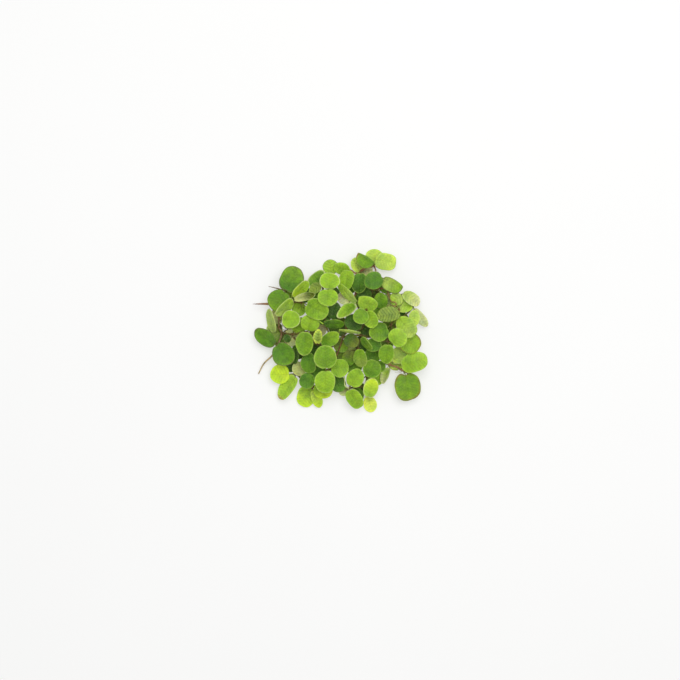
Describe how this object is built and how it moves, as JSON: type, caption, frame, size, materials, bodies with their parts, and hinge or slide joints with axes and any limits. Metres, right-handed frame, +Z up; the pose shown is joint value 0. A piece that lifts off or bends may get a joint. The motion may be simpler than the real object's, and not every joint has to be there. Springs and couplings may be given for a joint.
{
  "type": "floating fern",
  "caption": "Clump of a small floating fern: thin forked stems with round velvety leaves in pairs and short brown roots, lying on a surface.",
  "frame": {"origin": "middle of the clump's outline seen from above, on the surface that it lies on", "axes": "+Z up, out of the surface; +X along the clump's longest side; +Y to the picture's upper edge"},
  "size_m": [0.0879, 0.0816, 0.0192],
  "materials": {
    "leaf_dark": "matte and velvety, with fine side veins and a paler rim",
    "leaf_mid": "matte and velvety, with fine side veins and a paler rim",
    "leaf_bright": "matte and velvety, with a soft sheen where the hairs face the light",
    "leaf_lime": "smooth and slightly see-through, as on a young leaf",
    "leaf_pale": "pale, slightly see-through, with reddish veins on the underside",
    "stem": "brown, wet and hairy"
  },
  "bodies": {
    "root": {"crown_left_leaf_1": "leaf_bright", "crown_left_leaf_2": "leaf_bright", "crown_left_stem": "stem", "crown_right_leaf_1": "leaf_bright", "crown_right_leaf_2": "leaf_bright", "crown_right_leaf_3": "leaf_bright", "crown_right_leaf_4": "leaf_pale", "crown_right_leaf_5": "leaf_bright", "crown_right_stem": "stem", "east_leaf_1": "leaf_mid", "east_leaf_2": "leaf_pale", "east_leaf_3": "leaf_mid", "east_leaf_4": "leaf_bright", "east_leaf_5": "leaf_bright", "east_leaf_6": "leaf_mid", "east_stem": "stem", "main_leaf_1": "leaf_mid", "main_leaf_2": "leaf_mid", "main_leaf_3": "leaf_bright", "main_stem": "stem", "north_inner_leaf_1": "leaf_dark", "north_inner_leaf_2": "leaf_mid", "north_inner_stem": "stem", "north_leaf_1": "leaf_lime", "north_leaf_2": "leaf_mid", "north_leaf_3": "leaf_bright", "north_leaf_4": "leaf_dark", "north_stem": "stem", "northeast_leaf_1": "leaf_pale", "northeast_leaf_2": "leaf_pale", "northeast_leaf_3": "leaf_pale", "northeast_stem": "stem", "northwest_leaf_1": "leaf_bright", "northwest_stem": "stem", "south_leaf_1": "leaf_bright", "south_leaf_2": "leaf_bright", "south_leaf_3": "leaf_bright", "south_leaf_4": "leaf_dark", "south_outer_leaf_1": "leaf_bright", "south_outer_leaf_2": "leaf_mid", "south_outer_leaf_3": "leaf_lime", "south_outer_leaf_4": "leaf_lime", "south_outer_leaf_5": "leaf_mid", "south_outer_stem": "stem", "south_stem": "stem", "southeast_leaf_1": "leaf_mid", "southeast_leaf_2": "leaf_bright", "southeast_leaf_3": "leaf_pale", "southeast_stem": "stem", "southwest_leaf_1": "leaf_lime", "southwest_leaf_2": "leaf_bright", "southwest_leaf_3": "leaf_lime", "southwest_stem": "stem", "west_leaf_1": "leaf_dark", "west_leaf_2": "leaf_dark", "west_leaf_3": "leaf_pale", "west_leaf_4": "leaf_bright", "west_leaf_5": "leaf_dark", "west_leaf_6": "leaf_dark", "west_stem": "stem"}
  },
  "joints": []
}
